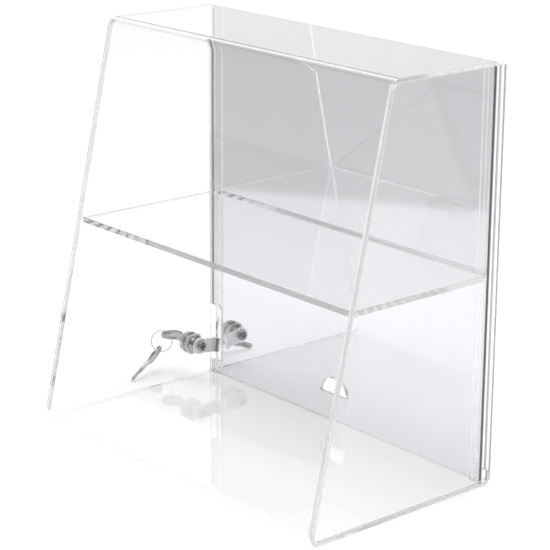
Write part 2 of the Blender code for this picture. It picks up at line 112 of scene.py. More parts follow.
def add_box(name: str, low: Point, high: Point) -> Piece:
    """Add a box between two corners.

    Args:
        name: Name of the new object.
        low: Lowest corner.
        high: Highest corner.

    Returns:
        The box, with its place in its mesh.
    """
    deselect_all()
    low_v, high_v = Vector(low), Vector(high)
    bpy.ops.mesh.primitive_cube_add(size=1.0, location=(low_v + high_v) / 2)
    bpy.context.object.scale = high_v - low_v
    return named(name)


def add_cylinder(name: str, radius: float, start: Vector, end: Vector,
                 sides: int = 64) -> Piece:
    """Add a closed cylinder between two points.

    Args:
        name: Name of the new object.
        radius: Radius of the cylinder.
        start: Middle of its first end.
        end: Middle of its other end.
        sides: Number of flat sides round it.

    Returns:
        The cylinder, with its place in its mesh.
    """
    deselect_all()
    axis = end - start
    turn = AXIS_Z.rotation_difference(axis)
    bpy.ops.mesh.primitive_cylinder_add(vertices=sides, radius=radius, depth=axis.length,
                                        location=(start + end) / 2,
                                        rotation=turn.to_euler())
    return named(name)


def pick(obj: Piece, kind: str, test: Callable[..., bool]) -> None:
    """Select mesh elements of one kind that pass a test, then enter edit mode.

    Args:
        obj: The piece.
        kind: FACE, EDGE or VERT.
        test: Takes a face's middle and normal, an edge's two ends or a vertex's place.
    """
    make_active(obj)
    mesh = obj.data
    for elements in (mesh.vertices, mesh.edges, mesh.polygons):
        elements.foreach_set("select", [False] * len(elements))
    if kind == "FACE":
        for face in mesh.polygons:
            face.select = test(face.center, face.normal)
    elif kind == "EDGE":
        for edge in mesh.edges:
            edge.select = test(*(mesh.vertices[k].co for k in edge.vertices))
    else:
        for vertex in mesh.vertices:
            vertex.select = test(vertex.co)
    bpy.ops.object.mode_set(mode="EDIT")
    bpy.ops.mesh.select_mode(type=kind)


def extrude(step: tuple[float, float, float] | Vector) -> None:
    """Extrude what is selected in edit mode by a step."""
    bpy.ops.mesh.extrude_region_move(TRANSFORM_OT_translate={"value": step})


def leave_edit() -> None:
    """Go back to object mode."""
    bpy.ops.object.mode_set(mode="OBJECT")


def bevel_edges(obj: Piece, test: PairTest, offset: float, segments: int,
                **settings: object) -> None:
    """Bevel the edges whose two ends pass a test."""
    pick(obj, "EDGE", test)
    bpy.ops.mesh.bevel(offset=offset, segments=segments, affect="EDGES", **settings)
    leave_edit()


def mill_flats(obj: Piece, centre: Vector, flat: float, span: tuple[float, float],
               half: float) -> None:
    """Cut two flats, above and below a centre, along X.

    Args:
        obj: The round piece.
        centre: Middle of the round.
        flat: Distance from the middle to each flat.
        span: X where the cuts start and end.
        half: Half the width of the cuts.
    """
    for sign in (-1, 1):
        near, far = sorted((centre.z + sign * flat, centre.z + sign * 2 * flat))
        combine(obj, add_box("mill", (span[0], centre.y - half, near),
                             (span[1], centre.y + half, far)))


def clean(obj: Piece, distance: float = 2e-6) -> None:
    """Merge doubled vertices and turn all faces outward."""
    make_active(obj)
    bpy.ops.object.mode_set(mode="EDIT")
    bpy.ops.mesh.select_all(action="SELECT")
    bpy.ops.mesh.remove_doubles(threshold=distance)
    bpy.ops.mesh.normals_make_consistent(inside=False)
    leave_edit()


def apply_modifier(obj: Piece, kind: str, **settings: object) -> None:
    """Add a modifier with its settings and apply it."""
    make_active(obj)
    step = obj.modifiers.new(kind.title(), kind)
    for key, value in settings.items():
        setattr(step, key, value)
    bpy.ops.object.modifier_apply(modifier=step.name)


def combine(obj: Piece, tool: Piece, how: str = "DIFFERENCE") -> None:
    """Cut or join a closed tool into a piece, then discard the tool."""
    apply_modifier(obj, "BOOLEAN", operation=how, solver="EXACT", object=tool)
    bpy.data.objects.remove(tool, do_unlink=True)


def soften(obj: Piece, width: float, segments: int = 2, angle: float = 40.0) -> None:
    """Round a piece's sharp edges and keep its broad faces flat.

    Args:
        obj: The piece.
        width: Width of the rounding.
        segments: Facets across the rounding.
        angle: Edges sharper than this many degrees are rounded.
    """
    apply_modifier(obj, "BEVEL", width=width, segments=segments, limit_method="ANGLE",
                   angle_limit=math.radians(angle), use_clamp_overlap=True,
                   miter_outer="MITER_ARC")
    flatten_shading(obj)


def smooth(obj: Piece, crease: float = 35.0) -> None:
    """Shade smooth except across edges sharper than crease degrees."""
    make_active(obj)
    bpy.ops.object.shade_smooth_by_angle(angle=math.radians(crease))


def flatten_shading(obj: Piece, crease: float = 50.0) -> None:
    """Shade smooth, weighting normals by area so that broad faces stay flat."""
    smooth(obj, crease)
    apply_modifier(obj, "WEIGHTED_NORMAL", mode="FACE_AREA", weight=100, keep_sharp=True)


def turned(name: str, profile: Profile, place: Matrix, closed: bool = False,
           sides: int = 64) -> Piece:
    """Turn a profile by growing a ring step by step.

    Args:
        name: Name of the new object.
        profile: Radius and height of each ring, in order.
        place: Where the turned piece stands, its axis along local Z.
        closed: True for a ring with a bore, whose last ring joins the first.
        sides: Number of sides round it.

    Returns:
        The turned piece, with its place in its mesh.
    """
    deselect_all()
    radius, height = profile[0]
    fill = "NOTHING" if closed else "NGON"
    bpy.ops.mesh.primitive_circle_add(vertices=sides, radius=radius, fill_type=fill,
                                      location=(0, 0, height))
    obj = named(name)
    pick(obj, "EDGE", lambda a, b: True)
    for next_radius, next_height in profile[1:]:
        extrude((0, 0, next_height - height))
        share = next_radius / radius
        bpy.ops.transform.resize(value=(share, share, 1.0),
                                 center_override=(0, 0, next_height))
        radius, height = next_radius, next_height
    if closed:
        leave_edit()
        first, last = profile[0], profile[-1]

        def on_ring(point: Vector, ring: tuple[float, float]) -> bool:
            flat = math.hypot(point.x, point.y)
            return abs(flat - ring[0]) < SMALL and abs(point.z - ring[1]) < SMALL

        pick(obj, "EDGE", lambda a, b: any(on_ring(a, r) and on_ring(b, r)
             for r in (first, last)))
        bpy.ops.mesh.bridge_edge_loops()
    leave_edit()
    obj.data.transform(place)
    clean(obj)
    return obj


# --- node utilities
@dataclass(frozen=True)
class Patches:
    """A noise, and the values where its patches start and are full."""

    scale: float
    detail: float
    roughness: float
    start: float
    full: float


SMEARS = Patches(9.0, 4.0, 0.6, 0.52, 0.75)
PRINTS = Patches(42.0, 3.0, 0.5, 0.58, 0.72)
HAIRLINES = Patches(5.0, 2.0, 0.4, 0.66, 0.70)
WORN_SPOTS = Patches(420.0, 2.0, 0.5, 0.60, 0.72)
HAIR_STRETCH = (9.0, 9.0, 340.0)
HAIR_TURN = (0.5, 0.35, 0.2)


class NodeSheet:
    """A small helper that adds and links nodes in one node tree."""

    def __init__(self, tree: bpy.types.NodeTree) -> None:
        """Keep the tree that nodes are added to."""
        self.tree = tree

    def add(self, kind: str, **settings: object) -> bpy.types.Node:
        """Add a node and set its attributes."""
        node = self.tree.nodes.new(kind)
        for key, value in settings.items():
            setattr(node, key, value)
        return node

    def link(self, source: Socket, target: Socket) -> None:
        """Join two sockets."""
        self.tree.links.new(source, target)

    def math(self, how: str, first: object, second: object = 0.0) -> Socket:
        """Return a Math node's result for two sockets or numbers."""
        node = self.add("ShaderNodeMath", operation=how)
        for socket, value in zip(node.inputs, (first, second)):
            if isinstance(value, Socket):
                self.link(value, socket)
            else:
                socket.default_value = value
        return node.outputs[0]

    def ramp(self, value: Socket, low: float, high: float,
             low_to: float = 0.0, high_to: float = 1.0) -> Socket:
        """Map a range smoothly to another and return the result."""
        node = self.add("ShaderNodeMapRange", interpolation_type="SMOOTHSTEP")
        self.link(value, node.inputs["Value"])
        for key, number in (("From Min", low), ("From Max", high),
                            ("To Min", low_to), ("To Max", high_to)):
            node.inputs[key].default_value = number
        return node.outputs["Result"]

    def noise(self, vector: Socket, scale: object, detail: float = 3.0,
              roughness: float = 0.5) -> Socket:
        """Return a noise value read at a vector."""
        node = self.add("ShaderNodeTexNoise")
        self.link(vector, node.inputs["Vector"])
        if isinstance(scale, Socket):
            self.link(scale, node.inputs["Scale"])
        else:
            node.inputs["Scale"].default_value = scale
        node.inputs["Detail"].default_value = detail
        node.inputs["Roughness"].default_value = roughness
        return node.outputs["Fac"]

    def patches(self, vector: Socket, pattern: Patches) -> Socket:
        """Return a mask that is 1 inside the patches of a noise and 0 outside."""
        cloud = self.noise(vector, pattern.scale, pattern.detail, pattern.roughness)
        return self.ramp(cloud, pattern.start, pattern.full)

    def along(self, x: Socket, y: Socket, east: float, north: float) -> Socket:
        """Return how far a place lies along a level direction."""
        return self.math("ADD", self.math("MULTIPLY", x, east),
                         self.math("MULTIPLY", y, north))

    def emboss(self, height: Socket, shader: bpy.types.Node, strength: float,
               depth: float) -> None:
        """Feed a height to a shader's normal through a Bump node."""
        bump = self.add("ShaderNodeBump")
        bump.inputs["Strength"].default_value = strength
        bump.inputs["Distance"].default_value = depth
        self.link(height, bump.inputs["Height"])
        self.link(bump.outputs["Normal"], shader.inputs["Normal"])

    def finish(self, shader: Socket) -> None:
        """Join a shader to the material's output."""
        out = self.add("ShaderNodeOutputMaterial")
        self.link(shader, out.inputs["Surface"])


def new_group(name: str, inputs: dict[str, float | None],
              outputs: Iterable[str]) -> tuple[NodeSheet, bpy.types.Node, bpy.types.Node]:
    """Start a shader node group with named sockets.

    Args:
        name: Name of the group.
        inputs: Each input's name and default; None makes it a vector.
        outputs: Names of the value outputs.

    Returns:
        The sheet to draw on, the group's input node and its output node.
    """
    tree = bpy.data.node_groups.new(name, "ShaderNodeTree")
    for key, default in inputs.items():
        kind = "NodeSocketVector" if default is None else "NodeSocketFloat"
        socket = tree.interface.new_socket(name=key, in_out="INPUT", socket_type=kind)
        if default is not None:
            socket.default_value = default
    for key in outputs:
        tree.interface.new_socket(name=key, in_out="OUTPUT", socket_type="NodeSocketFloat")
    sheet = NodeSheet(tree)
    return sheet, sheet.add("NodeGroupInput"), sheet.add("NodeGroupOutput")


@cache
def handling_marks() -> bpy.types.NodeTree:
    """Return the group for smudges, dust and hairline scratches on sheet."""
    inputs = {"Vector": None, "Smudge": 0.02, "Scratch": 0.3, "Base Roughness": 0.02}
    sheet, source, result = new_group("handling_marks", inputs, ("Roughness", "Height"))
    vector = source.outputs["Vector"]
    broad = sheet.patches(vector, SMEARS)
    prints = sheet.patches(vector, PRINTS)
    stretch = sheet.add("ShaderNodeMapping")
    stretch.inputs["Scale"].default_value = HAIR_STRETCH
    stretch.inputs["Rotation"].default_value = HAIR_TURN
    sheet.link(vector, stretch.inputs["Vector"])
    hair = sheet.patches(stretch.outputs[0], HAIRLINES)
    smudge = sheet.math("MULTIPLY", sheet.math("ADD", broad, prints), source.outputs["Smudge"])
    scratch = sheet.math("MULTIPLY", hair, source.outputs["Scratch"])
    rough = sheet.math("ADD", source.outputs["Base Roughness"], smudge)
    rough = sheet.math("ADD", rough, sheet.math("MULTIPLY", scratch, 0.06))
    height = sheet.math("ADD", sheet.math("MULTIPLY", scratch, -1.0),
                        sheet.math("MULTIPLY", sheet.noise(vector, 6.0, 1.0), 0.6))
    sheet.link(rough, result.inputs["Roughness"])
    sheet.link(height, result.inputs["Height"])
    return sheet.tree


@cache
def plated_metal() -> bpy.types.NodeTree:
    """Return the group for plating: mottled colour, fine grain and worn spots."""
    inputs = {"Vector": None, "Grain Scale": 900.0, "Base Roughness": 0.2,
              "Roughness Spread": 0.1, "Wear": 0.3}
    sheet, source, result = new_group("plated_metal", inputs, ("Shade", "Roughness", "Height"))
    vector = source.outputs["Vector"]
    cloud = sheet.noise(vector, 160.0, 4.0, 0.6)
    grain = sheet.noise(vector, source.outputs["Grain Scale"], 3.0, 0.7)
    spots = sheet.patches(vector, WORN_SPOTS)
    shade = sheet.math("ADD", sheet.math("MULTIPLY", cloud, 0.7),
                       sheet.math("MULTIPLY", grain, 0.3))
    worn = sheet.math("MULTIPLY", spots, source.outputs["Wear"])
    shade = sheet.math("SUBTRACT", shade, worn)
    spread = sheet.math("MULTIPLY", grain, source.outputs["Roughness Spread"])
    rough = sheet.math("ADD", source.outputs["Base Roughness"], spread)
    rough = sheet.math("ADD", rough, sheet.math("MULTIPLY", worn, 0.2))
    sheet.link(shade, result.inputs["Shade"])
    sheet.link(rough, result.inputs["Roughness"])
    sheet.link(grain, result.inputs["Height"])
    return sheet.tree


def use_group(sheet: NodeSheet, tree: bpy.types.NodeTree,
              values: dict[str, float]) -> bpy.types.Node:
    """Place a group, feed it Object coordinates and set its values."""
    node = sheet.add("ShaderNodeGroup", node_tree=tree)
    place = sheet.add("ShaderNodeTexCoord")
    sheet.link(place.outputs["Object"], node.inputs["Vector"])
    for key, value in values.items():
        node.inputs[key].default_value = value
    return node


def start_material(name: str) -> tuple[bpy.types.Material, NodeSheet]:
    """Make a material with an empty node tree."""
    made = bpy.data.materials.new(name)
    made.use_nodes = True
    made.node_tree.nodes.clear()
    return made, NodeSheet(made.node_tree)


# --- finishes
@dataclass(frozen=True)
class ClearFinish:
    """Polished clear acrylic, seen on a broad face or on a cut edge."""

    name: str
    tint: Colour = (0.993, 0.992, 0.995)
    roughness: float = 0.004
    smudge: float = 0.006
    scratch: float = 0.25
    ripple: float = 0.02
    ripple_depth: float = 0.0002
    ior: float = 1.49

    def make(self) -> bpy.types.Material:
        """Return the material; rays from lamps pass straight through it."""
        made, sheet = start_material(self.name)
        marks = use_group(sheet, handling_marks(),
                          {"Smudge": self.smudge, "Scratch": self.scratch,
                           "Base Roughness": self.roughness})
        shader = sheet.add("ShaderNodeBsdfPrincipled")
        shader.inputs["Base Color"].default_value = (*self.tint, 1.0)
        shader.inputs["Transmission Weight"].default_value = 1.0
        shader.inputs["IOR"].default_value = self.ior
        sheet.link(marks.outputs["Roughness"], shader.inputs["Roughness"])
        sheet.emboss(marks.outputs["Height"], shader, self.ripple, self.ripple_depth)
        through = sheet.add("ShaderNodeBsdfTransparent")
        through.inputs["Color"].default_value = (*self.tint, 1.0)
        path = sheet.add("ShaderNodeLightPath")
        mix = sheet.add("ShaderNodeMixShader")
        sheet.link(path.outputs["Is Shadow Ray"], mix.inputs[0])
        sheet.link(shader.outputs[0], mix.inputs[1])
        sheet.link(through.outputs[0], mix.inputs[2])
        sheet.finish(mix.outputs[0])
        return made


@dataclass(frozen=True)
class MetalFinish:
    """Plated or bare metal with mottled plating and fine grain."""

    name: str
    colour: Colour
    dark: Colour
    roughness: float = 0.2
    spread: float = 0.12
    wear: float = 0.3
    grain_scale: float = 900.0
    grain_depth: float = 0.00002
    grain_lift: float = 0.25
    metallic: float = 1.0

    def make(self) -> bpy.types.Material:
        """Return the material."""
        made, sheet = start_material(self.name)
        metal = use_group(sheet, plated_metal(),
                          {"Grain Scale": self.grain_scale, "Base Roughness": self.roughness,
                           "Roughness Spread": self.spread, "Wear": self.wear})
        shader = sheet.add("ShaderNodeBsdfPrincipled")
        shader.inputs["Metallic"].default_value = self.metallic
        blend = sheet.add("ShaderNodeMix", data_type="RGBA")
        low = next(s for s in blend.inputs if s.name == "A" and s.type == "RGBA")
        high = next(s for s in blend.inputs if s.name == "B" and s.type == "RGBA")
        low.default_value = (*self.dark, 1.0)
        high.default_value = (*self.colour, 1.0)
        sheet.link(sheet.ramp(metal.outputs["Shade"], 0.15, 0.6), blend.inputs[0])
        mixed = next(s for s in blend.outputs if s.type == "RGBA")
        sheet.link(mixed, shader.inputs["Base Color"])
        sheet.link(metal.outputs["Roughness"], shader.inputs["Roughness"])
        sheet.emboss(metal.outputs["Height"], shader, self.grain_lift, self.grain_depth)
        sheet.finish(shader.outputs[0])
        return made


CLEAR_FACE = ClearFinish("clear_acrylic_face")
CLEAR_EDGE = ClearFinish("clear_acrylic_polished_edge", tint=(0.78, 0.78, 0.785),
                         roughness=0.05, smudge=0.03, scratch=0.6, ripple=0.2)
SAWN_EDGE = ClearFinish("clear_acrylic_sawn_edge", tint=(0.50, 0.50, 0.51), roughness=0.3,
                        smudge=0.05, scratch=1.0, ripple=0.4)
DOOR_FACE = ClearFinish("mirror_sheet_face", tint=(0.98, 0.98, 0.985), smudge=0.008)
SILVER = MetalFinish("mirror_silver", (0.90, 0.91, 0.925), (0.87, 0.88, 0.90),
                     roughness=0.015, spread=0.01, wear=0.02, grain_depth=0.0)
BACK_PAINT = MetalFinish("mirror_back_paint", (0.40, 0.41, 0.43), (0.33, 0.34, 0.36),
                         roughness=0.55, spread=0.2, wear=0.3, grain_scale=1500.0,
                         grain_depth=0.00004, metallic=0.0)
# Painted shade: a near-black finish laid on the door sheet's side edges, where the mirror's edge
# looks dark, and in the screw's cross recess.
PAINTED_SHADE_DARK = MetalFinish("painted_shade_dark", (0.030, 0.032, 0.036), (0.012, 0.012, 0.014),
                        roughness=0.35, spread=0.2, wear=0.4, grain_scale=2500.0)
NICKEL = MetalFinish("nickel_plate_bright", (0.60, 0.595, 0.59), (0.26, 0.255, 0.25),
                     roughness=0.10, spread=0.10, wear=0.25)
NICKEL_WORN = MetalFinish("nickel_plate_key", (0.38, 0.375, 0.37), (0.17, 0.165, 0.16),
                          roughness=0.18, spread=0.16, wear=0.5)
ZINC = MetalFinish("zinc_plate_cam", (0.97, 0.972, 0.978), (0.90, 0.905, 0.91),
                   roughness=0.24, spread=0.16, wear=0.2, grain_scale=600.0)
# Painted shade: a dark zinc for the face of the cam's bent tip that looks dark.
PAINTED_SHADE_ZINC = MetalFinish("zinc_plate_painted_shade", (0.26, 0.26, 0.27), (0.14, 0.14, 0.145),
                          roughness=0.5, spread=0.2, wear=0.3, grain_scale=600.0)
BRASS = MetalFinish("brass_turned", (0.78, 0.60, 0.30), (0.55, 0.40, 0.18),
                    roughness=0.25, spread=0.15, wear=0.3)
STEEL = MetalFinish("spring_wire", (0.50, 0.50, 0.52), (0.32, 0.32, 0.34),
                    roughness=0.25, spread=0.15, wear=0.3)


class FinishRack:
    """Makes each finish once and hands it out."""

    def __init__(self) -> None:
        """Start with no finishes made."""
        self.made: dict[str, bpy.types.Material] = {}

    def get(self, finish: ClearFinish | MetalFinish) -> bpy.types.Material:
        """Return the material of a finish, made on first use."""
        if finish.name not in self.made:
            self.made[finish.name] = finish.make()
        return self.made[finish.name]


# --- base classes
@dataclass
class Assembly:
    """What every sub-assembly shares: its finishes and the body each piece rides on."""

    rack: FinishRack

    def place(self, obj: Piece, node: str, body: Body, slot: Slot) -> None:
        """Let a finished piece stand for its node and ride on its body."""
        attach(obj, body.value)
        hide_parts(node)
        LOG.info("%s: %d faces, rides on %s", obj.name, len(obj.data.polygons), body.value)

    def dress(self, obj: Piece, face: ClearFinish | MetalFinish,
              others: list[tuple[ClearFinish | MetalFinish,
                                 PairTest]] = ()) -> None:
        """Give a piece its finish, and other finishes to faces that pass a test."""
        obj.data.materials.clear()
        obj.data.materials.append(self.rack.get(face))
        for index, (finish, test) in enumerate(others, start=1):
            obj.data.materials.append(self.rack.get(finish))
            for polygon in obj.data.polygons:
                if test(polygon.center, polygon.normal):
                    polygon.material_index = index

    def dress_node(self, node: str, finish: MetalFinish) -> None:
        """Give a carried-over node its finish."""
        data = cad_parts[node].data
        data.materials.clear()
        data.materials.append(self.rack.get(finish))
        LOG.info("%s: carried over with %s", node, finish.name)


# --- case
@dataclass
class ClearCase(Assembly):
    """The bent sheet, side panels, shelf and the door's guide strips."""

    width: float = 0.356
    height: float = 0.356
    base_depth: float = 0.202
    top_depth: float = 0.123
    sheet: float = 0.005
    wrap_sheet: float = 0.003
    bend_radius: float = 0.0105
    lip_height: float = 0.012
    lip_radius: float = 0.007
    gap: float = 0.0003
    edge_round: float = 0.0004
    bend_steps: int = 20
    corner_steps: int = 8
    lock_hole: tuple[float, float] = (0.0083, 0.0073)

    @property
    def rear(self) -> float:
        """Y of the rear face."""
        return self.base_depth / 2

    @property
    def slope(self) -> Vector:
        """Direction up the slanted front, in Y and Z."""
        return Vector((self.base_depth - self.top_depth, self.height)).normalized()

    def corner(self, inset: float, top: bool) -> Vector:
        """Return a front corner of the outline moved inward by inset, in Y and Z."""
        across = self.slope
        if top:
            return Vector((self.rear - self.top_depth + inset * (1 - across.x) / across.y,
                           self.height - inset))
        return Vector((-self.rear + inset * (1 + across.x) / across.y, inset))

    def build_wrap(self, top_rear: float) -> Piece:
        """Fold one sheet into rear lip, bottom, slanted front and top.

        Args:
            top_rear: Y where the top ends, just in front of the door.

        Returns:
            The bent sheet.
        """
        deselect_all()
        bpy.ops.mesh.primitive_plane_add(size=1.0)
        bpy.context.object.scale = (self.width, self.base_depth, 1.0)
        obj = named("bent_front_sheet")
        rear, top = self.rear, self.corner(0.0, True)
        pick(obj, "EDGE", lambda a, b: a.y < -rear + SMALL and b.y < -rear + SMALL)
        rise = (0, top.x + rear, self.height)
        extrude(rise)
        back = (0, top_rear - top.x, 0)
        extrude(back)
        leave_edit()
        pick(obj, "EDGE", lambda a, b: min(a.y, b.y) > rear - SMALL
             and max(a.z, b.z) < SMALL)
        extrude((0, 0, self.lip_height))
        leave_edit()
        self.bend(obj, Vector((rear, 0.0)), self.lip_radius, math.pi / 2)
        turn = AXIS_Y.angle(Vector((0, self.slope.x, self.slope.y)))
        self.bend(obj, self.corner(0.0, False), self.bend_radius, math.pi - turn)
        self.bend(obj, self.corner(0.0, True), self.bend_radius, turn)
        clean(obj)
        self.thicken_inward(obj)
        soften(obj, self.edge_round, 2, 60.0)
        return obj

    def bend(self, obj: Piece, fold: Vector, radius: float, turn: float) -> None:
        """Round one fold of the open sheet to a radius; turn is how far it folds."""
        def on_fold(point: Vector) -> bool:
            return abs(point.y - fold.x) < SMALL and abs(point.z - fold.y) < SMALL
        bevel_edges(obj, lambda a, b: on_fold(a) and on_fold(b), radius * math.tan(turn / 2),
                    self.bend_steps)

    def thicken_inward(self, obj: Piece) -> None:
        """Give the open sheet its thickness towards the inside of the case."""
        low = min(obj.data.polygons, key=lambda p: p.center.z)
        offset = -1.0 if low.normal.z < 0 else 1.0
        apply_modifier(obj, "SOLIDIFY", thickness=self.wrap_sheet, offset=offset,
                       use_even_offset=True)
        clean(obj)

    def build_side(self, side: int, lock: Vector) -> Piece:
        """Cut one side panel to the inside of the bent sheet.

        Args:
            side: -1 for the lock's side and 1 for the other.
            lock: Middle of the lock, whose hole the left panel holds.

        Returns:
            The side panel.
        """
        inset = self.wrap_sheet + self.gap
        rear = self.rear - inset
        x = side * (self.width / 2 - self.sheet)
        foot, top = self.corner(inset, False), self.corner(inset, True)
        deselect_all()
        bpy.ops.mesh.primitive_plane_add(size=2.0)
        obj = named("left_side_sheet" if side < 0 else "right_side_sheet")
        for vertex in obj.data.vertices:
            corner = top if vertex.co.y > 0 else foot
            y = rear if vertex.co.x > 0 else corner.x
            vertex.co = Vector((x, y, corner.y))
        step = self.lip_height + self.gap
        pick(obj, "VERT", lambda p: True)
        bpy.ops.mesh.bisect(plane_co=(0, 0, step), plane_no=(0, 0, 1))
        leave_edit()
        pick(obj, "EDGE", lambda a, b: min(a.y, b.y) > rear - SMALL
             and max(a.z, b.z) > step + SMALL)
        extrude((0, inset, 0))
        leave_edit()
        self.round_corner(obj, foot, self.bend_radius - inset,
                          math.pi - math.acos(self.slope.x))
        self.round_corner(obj, top, self.bend_radius - inset, math.acos(self.slope.x))
        self.round_corner(obj, Vector((rear, inset)), self.lip_radius - inset, math.pi / 2)
        clean(obj)
        make_active(obj)
        outward = obj.data.polygons[0].normal.x * side > 0
        apply_modifier(obj, "SOLIDIFY", thickness=self.sheet, offset=1.0 if outward else -1.0)
        clean(obj)
        if side < 0:
            combine(obj, self.lock_hole_tool(lock))
            clean(obj)
        soften(obj, self.edge_round, 2, 60.0)
        return obj

    def round_corner(self, obj: Piece, place: Vector, radius: float,
                     turn: float) -> None:
        """Round one corner of the flat outline at a place in Y and Z."""
        pick(obj, "VERT", lambda p: abs(p.y - place.x) < SMALL and abs(p.z - place.y) < SMALL)
        bpy.ops.mesh.bevel(offset=radius * math.tan(turn / 2), segments=self.corner_steps,
                           affect="VERTICES")
        leave_edit()

    def lock_hole_tool(self, lock: Vector) -> Piece:
        """Return the cutter of the lock's hole: a circle with two flats."""
        radius, flat = self.lock_hole
        reach = self.sheet * 2
        tool = add_cylinder("hole_tool", radius, lock - AXIS_X * reach, lock + AXIS_X * reach)
        span = (lock.x - 2 * reach, lock.x + 2 * reach)
        mill_flats(tool, lock, flat, span, 2 * radius)
        return tool

    def build_board(self, name: str, node: str) -> Piece:
        """Make a straight polished piece of sheet in a node's box."""
        low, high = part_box(node)
        obj = add_box(name, low, high)
        soften(obj, self.edge_round, 2)
        return obj

    def build(self, lock: Vector) -> None:
        """Build and dress every clear piece of the case."""
        wrap_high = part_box("wrap_sheet")[1]
        door_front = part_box("mirror_door")[0].y
        wrap = self.build_wrap(door_front - self.gap)
        side_x = self.width / 2 - SMALL * 10

        def wrap_edge(middle: Vector, normal: Vector) -> bool:
            return (abs(normal.x) > FACING and abs(middle.x) > side_x
                    or normal.y > FACING and middle.z > self.height - self.sheet
                    or normal.z > FACING and middle.y > wrap_high.y - self.sheet)

        self.dress(wrap, CLEAR_FACE, [(CLEAR_EDGE, wrap_edge)])
        self.place(wrap, "wrap_sheet", Body.CASE, Slot.CLEAR)
        for side, node in ((-1, "left_side_panel"), (1, "right_side_panel")):
            panel = self.build_side(side, lock)
            self.dress(panel, CLEAR_FACE, [(CLEAR_EDGE, lambda m, n: abs(n.x) < FACING)])
            self.place(panel, node, Body.CASE, Slot.CLEAR)
        shelf = self.build_board("fixed_shelf", "shelf")
        self.dress(shelf, CLEAR_FACE, [(CLEAR_EDGE, lambda m, n: abs(n.z) < FACING)])
        self.place(shelf, "shelf", Body.CASE, Slot.CLEAR)
        for side in ("left", "right"):
            for place in ("front", "rear"):
                node = f"{side}_{place}_strip"
                strip = self.build_board(f"{side}_{place}_guide", node)
                side_finish = SAWN_EDGE if place == "rear" else CLEAR_EDGE
                self.dress(strip, CLEAR_FACE, [(CLEAR_EDGE, lambda m, n: abs(n.y) < FACING),
                                               (side_finish, lambda m, n: abs(n.x) > FACING)])
                self.place(strip, node, Body.CASE, Slot.CLEAR)


# --- door
@dataclass
class MirrorDoor(Assembly):
    """The lift-out door: a clear sheet with a silvered and painted rear."""

    finger_radius: float = 0.015
    finger_place: tuple[float, float] = (-0.0045, 0.0280)
    notch_depth: float = 0.0115
    notch_bottom: float = 0.0155
    notch_top: float = 0.0710
    notch_chamfer: float = 0.0045
    edge_round: float = 0.00025
    coat_reach: float = 0.00022

    def cut_openings(self, obj: Piece, low: Vector, high: Vector) -> None:
        """Cut the finger hole and the cam's notch through one layer."""
        x, z = self.finger_place
        front, rear = low.y - self.finger_radius, high.y + self.finger_radius
        finger = add_cylinder("finger_tool", self.finger_radius, Vector((x, front, z)),
                              Vector((x, rear, z)), 96)
        reach = 2 * self.finger_radius
        combine(finger, add_box("flat_tool", (x - reach, front - reach, z - reach),
                                (x + reach, rear + reach, z)))
        combine(obj, finger)
        notch = add_box("notch_tool", (low.x - reach, front, self.notch_bottom),
                        (low.x + self.notch_depth, rear, self.notch_top))
        inner = low.x + self.notch_depth
        bevel_edges(notch, lambda a, b: min(a.x, b.x) > inner - SMALL
                    and min(a.z, b.z) > self.notch_top - SMALL, self.notch_chamfer, 1)
        combine(obj, notch)
        clean(obj)

    def build_sheet(self) -> Piece:
        """Cut the clear sheet and polish its front edges."""
        low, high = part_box("mirror_door")
        obj = add_box("mirror_door_sheet", low, high)
        self.cut_openings(obj, low, high)
        soften(obj, self.edge_round, 2)
        return obj

    def build_coat(self) -> Piece:
        """Lay the silver and paint behind the sheet."""
        low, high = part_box("mirror_backing")
        obj = add_box("mirror_silver_coat", (low.x, low.y - self.coat_reach, low.z), high)
        self.cut_openings(obj, low, high)
        soften(obj, self.edge_round / 3, 1)
        return obj

    def build(self) -> None:
        """Build and dress both layers of the door."""
        sheet = self.build_sheet()
        low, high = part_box("mirror_door")
        inner = (high.x - low.x) / 2 - self.notch_depth / 2

        # Painted shade: the right edge and the left edge above the notch get the near-black finish,
        # where the mirror's edge looks dark.
        def side_edge(middle: Vector, normal: Vector) -> bool:
            off_centre = middle.x - (low.x + high.x) / 2
            on_left = off_centre < -inner and middle.z > self.notch_top
            return abs(normal.x) > FACING and (off_centre > inner or on_left)

        self.dress(sheet, DOOR_FACE, [(CLEAR_EDGE, lambda m, n: abs(n.y) < FACING),
                                      (PAINTED_SHADE_DARK, side_edge)])
        self.place(sheet, "mirror_door", Body.DOOR, Slot.DOOR)
        coat = self.build_coat()
        self.dress(coat, SILVER, [(BACK_PAINT, lambda m, n: n.y > -FACING)])
        self.place(coat, "mirror_backing", Body.DOOR, Slot.MIRROR)


